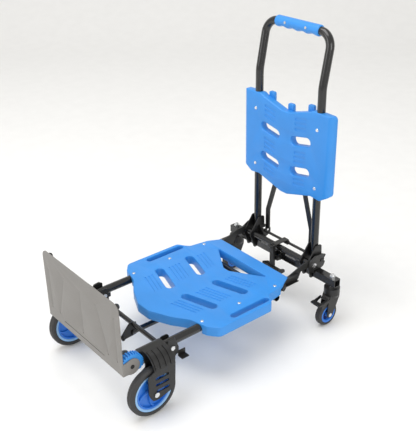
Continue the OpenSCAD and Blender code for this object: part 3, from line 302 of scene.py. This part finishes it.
# %% A tree that sets copies of one shape on a line of points
def row_tree():
    tree = bpy.data.node_groups.new("row of copies", "GeometryNodeTree")
    face = tree.interface
    face.new_socket("Shape", in_out="INPUT", socket_type="NodeSocketObject")
    face.new_socket("Count", in_out="INPUT", socket_type="NodeSocketInt")
    face.new_socket("Start", in_out="INPUT", socket_type="NodeSocketVector")
    face.new_socket("Step", in_out="INPUT", socket_type="NodeSocketVector")
    face.new_socket("Material", in_out="INPUT", socket_type="NodeSocketMaterial")
    face.new_socket("Geometry", in_out="OUTPUT", socket_type="NodeSocketGeometry")
    new, link = tree.nodes.new, tree.links.new
    given, result = new("NodeGroupInput"), new("NodeGroupOutput")
    line, shape = new("GeometryNodeMeshLine"), new("GeometryNodeObjectInfo")
    copies = new("GeometryNodeInstanceOnPoints")
    real, paint = new("GeometryNodeRealizeInstances"), new("GeometryNodeSetMaterial")
    link(given.outputs["Shape"], shape.inputs["Object"])
    link(given.outputs["Count"], line.inputs["Count"])
    link(given.outputs["Start"], line.inputs["Start Location"])
    link(given.outputs["Step"], line.inputs["Offset"])
    link(line.outputs["Mesh"], copies.inputs["Points"])
    link(shape.outputs["Geometry"], copies.inputs["Instance"])
    link(copies.outputs["Instances"], real.inputs["Geometry"])
    link(real.outputs["Geometry"], paint.inputs["Geometry"])
    link(given.outputs["Material"], paint.inputs["Material"])
    link(paint.outputs["Geometry"], result.inputs["Geometry"])
    return tree


ROW = row_tree()


def row_of(shape, count, start, step, mat, name):
    """Copies of a shape in a row, as a plain mesh."""
    host = bpy.data.objects.new(name, bpy.data.meshes.new(name))
    bpy.context.scene.collection.objects.link(host)
    mod = host.modifiers.new("row", "NODES")
    mod.node_group = ROW
    keys = {item.name: item.identifier for item in ROW.interface.items_tree if item.in_out == "INPUT"}
    mod[keys["Shape"]] = shape
    mod[keys["Count"]] = count
    mod[keys["Start"]] = start
    mod[keys["Step"]] = step
    mod[keys["Material"]] = mat
    return baked(host, name)


def joined(pieces, name):
    mesh = bpy.data.meshes.new(name)
    bm = bmesh.new()
    for piece in pieces:
        piece.data.transform(piece.matrix_world)
        bm.from_mesh(piece.data)
        bpy.data.objects.remove(piece)
    bm.to_mesh(mesh)
    bm.free()
    obj = bpy.data.objects.new(name, mesh)
    bpy.context.scene.collection.objects.link(obj)
    return obj


# %% Cut the grip bars into the deck
BAR_STEP = 0.0125
blue = MATS["blue_plastic"]
groups = []
for side in (1, -1):
    for y, count in ((slot_ys[0] - 0.058, 3), (slot_ys[0] + 0.034, 4), (slot_ys[1] + 0.030, 3)):
        bar = moulding(f"bar_{side}_{y:.3f}", slot_outline(0, 0, 0.090, 0.0066, side * slant), [],
                       -0.0016, 0.002, 0.0006)
        groups.append(row_of(bar, count, (side * slot_x, y, top), (0, BAR_STEP, 0), blue,
                             f"bars_{side}_{y:.3f}"))
        bpy.data.objects.remove(bar)
deck = cut(deck, joined(groups, "bars"))
deck.data.materials.clear()
deck.data.materials.append(blue)
print("deck with grip bars:", len(deck.data.polygons), "faces")

# %% [markdown]
# Underneath, two half-round channels seat the deck on its rails, and the rear corners are cut for the arms.

# %% Channels for the rails, and the last touches of the deck
def rod(name, x, y0, y1, z, r, sides=48):
    bm = bmesh.new()
    lying = Matrix.Translation((x, (y0 + y1) / 2, z)) @ Matrix.Rotation(math.pi / 2, 4, "X")
    bmesh.ops.create_cone(bm, cap_ends=True, segments=sides, radius1=r, radius2=r, depth=y1 - y0,
                          matrix=lying)
    return new_piece(name, bm)


def block(name, low, high):
    bm = bmesh.new()
    size = Vector(high) - Vector(low)
    middle = (Vector(high) + Vector(low)) / 2
    bmesh.ops.create_cube(bm, size=1, matrix=Matrix.Translation(middle) @ Matrix.Diagonal(size.to_4d()))
    return new_piece(name, bm)


rail0, rail1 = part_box("base_rail_left")
rail_z = (rail0.z + rail1.z) / 2
rail_r = (rail1.z - rail0.z) / 2 + 0.0002
arm0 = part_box("hinge_arm_left")[0]
for name, side in SIDES:
    deck = cut(deck, rod("channel", side * rail_x, front - 0.01, rear + 0.01, rail_z, rail_r))
    x0, x1 = sorted((side * (rail_x - rail_r), side * (rail_x + rail_r)))
    deck = cut(deck, block("groove", (x0, front - 0.01, d0.z - 0.01), (x1, rear + 0.01, rail_z)))
    x0, x1 = sorted((side * (arm0.x - 0.002), side * (rail_x - rail_r + 0.0005)))
    deck = cut(deck, block("corner", (x0, arm0.y - 0.002, d0.z - 0.01), (x1, rear + 0.01, top - 0.004)))
deck.data.shade_smooth()
deck.data.set_sharp_from_angle(angle=math.radians(32))
hand_over(deck, "base_frame", "blue_plastic", "deck")
bm = bmesh.new()
for name, side in SIDES:
    for y in (rear - 0.346, rear - 0.207, rear - 0.065):
        bmesh.ops.create_uvsphere(bm, u_segments=20, v_segments=10, radius=0.0052, matrix=Matrix.Translation(
            (side * rail_x, y, top - 0.0002)) @ Matrix.Diagonal((1, 1, 0.3, 1)))
hand_over(new_piece("deck_screw_heads", bm, MATS["zinc"]), "base_frame", "zinc", "deck_screws")
print("deck:", len(deck.data.polygons), "faces")

# %% [markdown]
# ## The toe plate
# The sheet is pressed into five long grooves that taper out at the top and end in a drain hole at the bottom.
# They are cut into a copy of the CAD sheet, and the copy stands for it.

# %% Press the grooves into the toe plate
def groove_tool(x_low, x_high, z_low, z_high, y_face, wide, deep):
    """A long wedge: deep and wide at its lower end, and running out at its upper end."""
    bm = bmesh.new()
    section = ((-1, -0.001, 0), (-0.95, 0, 0), (-0.35, 0, 1), (0.35, 0, 1), (0.95, 0, 0), (1, -0.001, 0))
    rings = []
    for k in range(13):
        share = k / 12
        x, z = x_low + (x_high - x_low) * share, z_low + (z_high - z_low) * share
        half = wide / 2 * (1 if k else 0.5)
        depth = deep * (1 - 0.55 * share) * (1 if 0 < k < 12 else 0.15)
        rings.append([bm.verts.new((x + dx * half, y_face + dy + sunk * depth, z))
                      for dx, dy, sunk in section])
    for one, two in zip(rings, rings[1:]):
        for i in range(6):
            bm.faces.new((one[i - 1], one[i], two[i], two[i - 1]))
    bm.faces.new(rings[0])
    bm.faces.new(rings[-1])
    return new_piece("groove", bm)


sheet = nodes["toe_plate"].copy()
sheet.data = nodes["toe_plate"].data.copy()
sheet.parent = None
bpy.context.scene.collection.objects.link(sheet)
sheet.name = "toe_plate_pressed"
bm = bmesh.new()
bm.from_mesh(sheet.data)
bmesh.ops.remove_doubles(bm, verts=bm.verts, dist=1e-6)
bm.to_mesh(sheet.data)
bm.free()
q0, q1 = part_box("toe_plate")
for x_low, x_high in ((0, 0), (0.127, 0.082), (-0.127, -0.082), (0.169, 0.168), (-0.169, -0.168)):
    tool = groove_tool(x_low, x_high, q0.z + 0.040, q1.z - 0.048, q0.y, 0.0105, 0.0016)
    sheet = cut(sheet, tool)
    sheet = cut(sheet, rod("hole", x_low, q0.y - 0.01, q0.y + 0.006, q0.z + 0.0405, 0.0018, 16))
sheet.name = "toe_plate_pressed"
sheet.data.shade_smooth()
sheet.data.set_sharp_from_angle(angle=math.radians(20))
hand_over(sheet, "toe_plate", "grey_steel", "toe_plate")
print("toe plate:", len(sheet.data.polygons), "faces")

# %% [markdown]
# ## The back panel
# The same kind of moulding stood upright: deep, with generous round sides, slanted slots, three hooks on the
# top edge, and channels at the back for the handle's legs.

# %% The back panel's outline, slots and bars
p0, p1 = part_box("back_panel")
half, base, lip = p1.x, p0.z + 0.027, p0.z + 0.301
face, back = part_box("panel_screws")[0].y + 0.0015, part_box("panel_screws")[0].y + 0.0275
panel_edge = [
    (half, lip, 0.012), (0.112, lip + 0.002, 0.014), (0.096, lip - 0.006, 0.010), (0.014, lip - 0.030, 0.016),
    (-0.014, lip - 0.030, 0.016), (-0.096, lip - 0.006, 0.010), (-0.112, lip + 0.002, 0.014),
    (-half, lip, 0.012),
    (-half, base + 0.022, 0.016), (-0.152, base - 0.002, 0.012), (-0.116, base + 0.002, 0.010),
    (-0.014, base - 0.027, 0.016), (0.014, base - 0.027, 0.016), (0.116, base + 0.002, 0.010),
    (0.152, base - 0.002, 0.012), (half, base + 0.022, 0.016)]
panel_slant = math.radians(11)
panel_holes = [slot_outline(side * 0.066, base + z, 0.082, 0.028, side * panel_slant)
               for side in (1, -1) for z in (0.066, 0.166)]
panel = moulding("panel_moulding", rounded(panel_edge), panel_holes, face, back, 0.004, upright=True)
groups = []
for side in (1, -1):
    for z, count in ((0.024, 3), (0.098, 3), (0.206, 3)):
        bar = moulding(f"pbar_{side}_{z}", slot_outline(0, 0, 0.050, 0.010, side * panel_slant), [], -0.0016,
                       0.0016, 0.0006, upright=True)
        groups.append(row_of(bar, count, (side * 0.066, face, base + z), (0, 0, 0.0155), blue,
                             f"pbars_{side}_{z}"))
        bpy.data.objects.remove(bar)
panel = cut(panel, joined(groups, "panel_bars"))
print("panel blank:", len(panel.data.polygons), "faces")

# %% Round the panel's sides, add its hooks and cut its channels
sides_plan = rounded([(-half, face, 0.020), (half, face, 0.020), (half, back, 0.004), (-half, back, 0.004)],
                     12)
shell = moulding("sides", sides_plan, [], base - 0.1, lip + 0.1, 0.0001)
mod = panel.modifiers.new("sides", "BOOLEAN")
mod.operation = "INTERSECT"
mod.solver = "EXACT"
mod.object = shell
panel = baked(panel, "panel_body")
bpy.data.objects.remove(shell)
leg_r = 0.0126
leg_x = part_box("handle_legs")[1].x - 0.0125
leg_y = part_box("handle_legs")[0].y + 0.0125
for name, side in SIDES:
    bm = bmesh.new()
    bmesh.ops.create_cone(bm, cap_ends=True, segments=48, radius1=leg_r, radius2=leg_r, depth=0.5,
                          matrix=Matrix.Translation((side * leg_x, leg_y, base + 0.14)))
    panel = cut(panel, new_piece("leg_seat", bm))
    x0, x1 = side * leg_x - leg_r, side * leg_x + leg_r
    panel = cut(panel, block("leg_way", (x0, leg_y, base - 0.1), (x1, back + 0.01, lip + 0.1)))
t0, t1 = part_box("brace_cross_tube")
panel = cut(panel, block("trough", (-leg_x, t0.y - 0.001, t0.z - 0.001), (leg_x, back + 0.01, t1.z + 0.001)))
panel.data.materials.clear()
panel.data.materials.append(blue)
panel.data.shade_smooth()
panel.data.set_sharp_from_angle(angle=math.radians(30))
hand_over(panel, "handle", "blue_plastic", "back_panel")
for x in (-0.084, 0.0, 0.084):
    z0 = lip - (0.038 if x == 0 else 0.020)
    z1 = lip - (0.028 if x == 0 else 0.010) + 0.018
    tab = rounded([(x - 0.012, z0, 0), (x + 0.012, z0, 0), (x + 0.012, z1, 0.006), (x - 0.012, z1, 0.006)])
    label = f"panel_hook_{int(x * 1000)}".replace("-", "r")
    hook = moulding(label, tab, [], back - 0.004, back + 0.007, 0.002, upright=True)
    hook.data.materials.append(blue)
    hook.data.shade_smooth()
    hook.data.set_sharp_from_angle(angle=math.radians(50))
    hand_over(hook, "handle", "blue_plastic")
print("panel:", len(panel.data.polygons), "faces")

# %% [markdown]
# ## Wheels
# A tyre is a section turned about the axle: a flat tread with a faint centre line and soft shoulders.
# The section is a short list of points, and turning it in steps keeps the mesh light.

# %% Turn a section about an axle
def turned(name, section, centre, mats, steps=96):
    """section is (along the axle, radius) points of a closed loop."""
    bm = bmesh.new()
    rings = []
    for k in range(steps):
        t = 2 * math.pi * k / steps
        rings.append([bm.verts.new((centre[0] + a, centre[1] + r * math.cos(t), centre[2] + r * math.sin(t)))
                      for a, r in section])
    for k in range(steps):
        one, two = rings[k], rings[(k + 1) % steps]
        for i in range(len(section)):
            j = (i + 1) % len(section)
            bm.faces.new((one[i], one[j], two[j], two[i]))
    return new_piece(name, bm, *mats)


def tyre_section(r, r_in, w):
    shoulder = w * 0.30
    pts = [(-w / 2 + 0.0012, r_in + 0.0003), (-w / 2, r_in + 0.003), (-w / 2, r - shoulder * 1.25)]
    pts += [(-w / 2 + shoulder * (1 - math.cos(t)), r - shoulder * 1.1 * (1 - math.sin(t)))
            for t in (math.radians(a) for a in range(15, 91, 15))]
    pts += [(-0.0009, r), (-0.0005, r - 0.0006), (0.0005, r - 0.0006), (0.0009, r)]
    return pts + [(-a, b) for a, b in reversed(pts[:-4])]


def wheel_centre(node):
    low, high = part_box(node)
    return (low + high) / 2


for name, side in SIDES:
    for kind, body in (("front_tyre", "front_wheel"), ("caster_tyre", "caster_wheel")):
        low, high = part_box(f"{kind}_{name}")
        r, w = (high.z - low.z) / 2, high.x - low.x
        hub_low, hub_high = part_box(f"{kind.replace('tyre', 'hub')}_{name}")
        r_in = (hub_high.z - hub_low.z) / 2
        tyre = turned(f"{kind}_{name}_rubber", tyre_section(r, r_in, w), wheel_centre(f"{kind}_{name}"),
                      [MATS["tyre"]])
        hand_over(tyre, f"{body}_{name}", "tyre", f"{kind}_{name}")
print("tyres made")

# %% [markdown]
# ## Hubs
# A front hub is one moulding: a stepped rim, a thin web, a boss, and five curved blades that sweep from the
# boss to the rim. The rim and boss are turned, and each blade is a strip that follows an arc.

# %% The front hubs
def blade(bm, centre, start, sweep, r0, r1, thick, depth, steps=12):
    section = ((-1, -0.8), (-1, 0.8), (-0.6, 1), (0.6, 1), (1, 0.8), (1, -0.8), (0.6, -1), (-0.6, -1))
    loops = []
    for k in range(steps + 1):
        share = k / steps
        r = r0 + (r1 - r0) * share
        a = start + sweep * share ** 1.3
        out = Vector((0, math.cos(a), math.sin(a)))
        along = Vector((0, -math.sin(a), math.cos(a)))
        wide = thick * (1.5 - 0.7 * math.sin(math.pi * share))
        deep = depth * (1 - 0.25 * share)
        mid = Vector(centre) + out * r
        loops.append([bm.verts.new(mid + along * s * wide / 2 + Vector((x * deep / 2, 0, 0)))
                      for s, x in section])
    for one, two in zip(loops, loops[1:]):
        for i in range(8):
            bm.faces.new((one[i], one[(i + 1) % 8], two[(i + 1) % 8], two[i]))
    bm.faces.new(loops[0])
    bm.faces.new(list(reversed(loops[-1])))


def hub_rings(r, w, bore, boss):
    rim = [(-w / 2, r - 0.0065), (-w / 2, r - 0.0005), (w / 2, r - 0.0005), (w / 2, r - 0.0065),
           (w / 2 - 0.003, r - 0.009), (-w / 2 + 0.003, r - 0.009)]
    lip = [(-w / 2 + 0.001, r - 0.0125), (-w / 2 + 0.001, r - 0.008), (w / 2 - 0.001, r - 0.008),
           (w / 2 - 0.001, r - 0.0125), (w / 2 - 0.004, r - 0.0135), (-w / 2 + 0.004, r - 0.0135)]
    web = [(-0.002, boss - 0.004), (-0.002, r - 0.008), (0.002, r - 0.008), (0.002, boss - 0.004)]
    hub = [(-w / 2 - 0.0005, bore), (-w / 2 - 0.0005, boss - 0.003), (-w / 2 + 0.002, boss),
           (w / 2 - 0.002, boss), (w / 2 + 0.0005, boss - 0.003), (w / 2 + 0.0005, bore)]
    return rim, lip, web, hub


for name, side in SIDES:
    node = f"front_hub_{name}"
    low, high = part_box(node)
    c, r, w = wheel_centre(node), (high.z - low.z) / 2, high.x - low.x - 0.004
    rim, lip_ring, web, hub = hub_rings(r, w, 0.00505, 0.016)
    pieces = [turned("rim", rim, c, [pale_blue]), turned("lip", lip_ring, c, [MATS["hub_plastic"]]),
              turned("web", web, c, [MATS["hub_plastic"]]), turned("hub", hub, c, [MATS["hub_plastic"]], 48)]
    bm = bmesh.new()
    for k in range(5):
        blade(bm, c, k * 2 * math.pi / 5 + 0.3, side * 0.75, 0.013, r - 0.009, 0.0075, w - 0.003)
    pieces.append(new_piece("blades", bm, MATS["hub_plastic"], smooth=50))
    for k, piece in enumerate(pieces):
        piece.name = f"front_hub_{name}_{('rim', 'lip', 'web', 'boss', 'blades')[k]}"
        hand_over(piece, f"front_wheel_{name}", "hub_plastic", *((node,) if k == 0 else ()))
print("front hubs made")

# %% The caster hubs
for name, side in SIDES:
    node = f"caster_hub_{name}"
    low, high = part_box(node)
    c, r, w = wheel_centre(node), (high.z - low.z) / 2, high.x - low.x - 0.002
    rim, lip_ring, web, hub = hub_rings(r, w, 0.00405, 0.010)
    pieces = [turned("rim", rim, c, [MATS["hub_plastic"]]), turned("web", web, c, [navy]),
              turned("hub", hub, c, [MATS["hub_plastic"]], 40)]
    bm = bmesh.new()
    for k in range(6):
        blade(bm, c, k * math.pi / 3, side * 0.5, 0.009, r - 0.008, 0.004, w - 0.006, 8)
    pieces.append(new_piece("blades", bm, navy, smooth=50))
    for k, piece in enumerate(pieces):
        piece.name = f"caster_hub_{name}_{('rim', 'web', 'boss', 'blades')[k]}"
        hand_over(piece, f"caster_wheel_{name}", "hub_plastic", *((node,) if k == 0 else ()))
print("caster hubs made")

# %% [markdown]
# ## The grip
# A tough plastic sleeve on the handle's top bar, with rounded ends and finger hollows along its underside.
# It is a tube whose radius changes along its length and around it.

# %% The grip with finger hollows
g0, g1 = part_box("grip")
grip_c, grip_half = (g0 + g1) / 2, (g1.x - g0.x) / 2
grip_r = (g1.y - g0.y) / 2
bore_r = 0.01265
lean = math.radians(11.3)
bm = bmesh.new()
stations = [-1 + 2 * k / 72 for k in range(73)]
outer, inner = [], []
for t in stations:
    x = t * grip_half
    end = min(1, (1 - abs(t)) * grip_half / 0.004)
    ring_out, ring_in = [], []
    for k in range(48):
        a = 2 * math.pi * k / 48
        under = max(0, math.cos(a - math.pi - lean)) ** 2
        hollow = 0.0032 * (0.5 + 0.5 * math.cos(t * math.pi * 4.4 + math.pi)) * under
        rr = grip_r - 0.0002 - hollow - 0.0022 * (1 - math.sqrt(max(0, 1 - (1 - end) ** 2)))
        ring_out.append(bm.verts.new((x, grip_c.y + math.sin(a) * rr, grip_c.z + math.cos(a) * rr)))
        ring_in.append(bm.verts.new((x, grip_c.y + math.sin(a) * bore_r, grip_c.z + math.cos(a) * bore_r)))
    outer.append(ring_out)
    inner.append(ring_in)
for rows, flip in ((outer, 1), (inner, -1)):
    for one, two in zip(rows, rows[1:]):
        for i in range(48):
            j = (i + 1) % 48
            bm.faces.new((one[i], one[j], two[j], two[i])[::flip])
for ring in (0, -1):
    for i in range(48):
        j = (i + 1) % 48
        bm.faces.new((outer[ring][i], outer[ring][j], inner[ring][j], inner[ring][i]))
hand_over(new_piece("grip_sleeve", bm, blue, smooth=55), "handle", "blue_plastic", "grip")
print("grip made")

# %% [markdown]
# ## Latch springs
# Two close-wound coils lie under the hinge tube. Geometry Nodes have a Spiral curve for exactly this: it is
# given a round profile and turned into a mesh.

# %% Coil springs from a spiral curve
def coil(name, turns, length, radius, wire, mat):
    tree = bpy.data.node_groups.new(name, "GeometryNodeTree")
    tree.interface.new_socket("Turns", in_out="INPUT", socket_type="NodeSocketFloat")
    tree.interface.new_socket("Length", in_out="INPUT", socket_type="NodeSocketFloat")
    tree.interface.new_socket("Geometry", in_out="OUTPUT", socket_type="NodeSocketGeometry")
    new, link = tree.nodes.new, tree.links.new
    given, result = new("NodeGroupInput"), new("NodeGroupOutput")
    spiral, circle = new("GeometryNodeCurveSpiral"), new("GeometryNodeCurvePrimitiveCircle")
    sweep, paint = new("GeometryNodeCurveToMesh"), new("GeometryNodeSetMaterial")
    spiral.inputs["Resolution"].default_value = 14
    spiral.inputs["Start Radius"].default_value = radius
    spiral.inputs["End Radius"].default_value = radius
    circle.inputs["Resolution"].default_value = 7
    circle.inputs["Radius"].default_value = wire / 2
    sweep.inputs["Fill Caps"].default_value = True
    paint.inputs["Material"].default_value = mat
    link(given.outputs["Turns"], spiral.inputs["Rotations"])
    link(given.outputs["Length"], spiral.inputs["Height"])
    link(spiral.outputs["Curve"], sweep.inputs["Curve"])
    link(circle.outputs["Curve"], sweep.inputs["Profile Curve"])
    link(sweep.outputs["Mesh"], paint.inputs["Geometry"])
    link(paint.outputs["Geometry"], result.inputs["Geometry"])
    host = bpy.data.objects.new(name, bpy.data.meshes.new(name))
    bpy.context.scene.collection.objects.link(host)
    mod = host.modifiers.new("coil", "NODES")
    mod.node_group = tree
    keys = {item.name: item.identifier for item in tree.interface.items_tree if item.in_out == "INPUT"}
    mod[keys["Turns"]] = float(turns)
    mod[keys["Length"]] = float(length)
    return baked(host, name)


s0, s1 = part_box("latch_springs")
spring_mid = (s0 + s1) / 2
for name, side in SIDES:
    spring = coil(f"latch_spring_{name}", 17, 0.044, 0.0038, 0.0015, steel_dull)
    x = side * (s1.x - 0.050)
    spring.data.transform(Matrix.Translation((x, spring_mid.y, spring_mid.z))
                          @ Matrix.Rotation(side * math.pi / 2, 4, "Y"))
    spring.data.shade_smooth()
    hand_over(spring, "handle", "zinc", *(("latch_springs",) if side == 1 else ()))
print("springs made")

# %% [markdown]
# ## Room, light and camera
# A pale floor that curves up behind the cart, a broad soft light overhead, two weaker ones from the side and
# the front, and a pale surround keep the look of a plain studio.

# %% The floor and the backdrop
bm = bmesh.new()
profile = [(-6.0, 0.0), (3.2, 0.0)]
profile += [(3.2 + 1.6 * math.sin(t), 1.6 * (1 - math.cos(t))) for t in np.radians(np.arange(6, 91, 6))]
profile.append((4.8, 6.0))
azimuth = math.radians(51.2)
ahead = Vector((-math.sin(azimuth), math.cos(azimuth), 0))
across = Vector((math.cos(azimuth), math.sin(azimuth), 0))
rows = [[bm.verts.new(ahead * d + across * s * 7 + Vector((0, 0, z - 0.0005))) for s in (-1, 1)]
        for d, z in profile]
for one, two in zip(rows, rows[1:]):
    bm.faces.new((one[0], one[1], two[1], two[0]))
floor_paint = finish("studio floor", (0.86, 0.86, 0.85), 0.7, vary=0.01, bump=0.0)
floor = new_piece("studio_floor", bm, floor_paint, smooth=60)


# %% Soft lights and the surround
def soft_light(name, place, target, size, power):
    data = bpy.data.lights.new(name, "AREA")
    data.shape = "SQUARE"
    data.size = size
    data.energy = power
    lamp = bpy.data.objects.new(name, data)
    lamp.location = place
    lamp.rotation_euler = (Vector(target) - Vector(place)).to_track_quat("-Z", "Y").to_euler()
    bpy.context.scene.collection.objects.link(lamp)


soft_light("key", (-0.4, -0.6, 3.6), (0, 0, 0.2), 2.4, 66)
soft_light("side", (3.2, -0.4, 1.6), (0, 0, 0.4), 1.8, 34)
soft_light("front", (-1.2, -3.4, 1.8), (0, 0, 0.4), 2.0, 30)
world = bpy.data.worlds.new("surround")
world.use_nodes = True
world.node_tree.nodes["Background"].inputs["Color"].default_value = (1.0, 0.985, 0.965, 1)
world.node_tree.nodes["Background"].inputs["Strength"].default_value = 0.76
bpy.context.scene.world = world
bpy.context.scene.view_settings.view_transform = "Standard"

# %% The camera
azim, elev, roll = math.radians(51.21), math.radians(27.41), -0.0190
behind = Vector((math.sin(azim) * math.cos(elev), -math.cos(azim) * math.cos(elev), math.sin(elev)))
right = Vector((math.cos(azim), math.sin(azim), 0))
up = behind.cross(right)
cam_right = right * math.cos(roll) + up * math.sin(roll)
cam_up = up * math.cos(roll) - right * math.sin(roll)
camera_data = bpy.data.cameras.new("camera")
camera_data.lens = 65.2
camera_data.sensor_width = 36
camera = bpy.data.objects.new("camera", camera_data)
turn = Matrix((cam_right, cam_up, behind)).transposed().to_4x4()
camera.matrix_world = Matrix.Translation((1.5977, -1.2450, 1.4573)) @ turn
bpy.context.scene.collection.objects.link(camera)
bpy.context.scene.camera = camera
print("camera at", tuple(round(v, 3) for v in camera.matrix_world.translation))
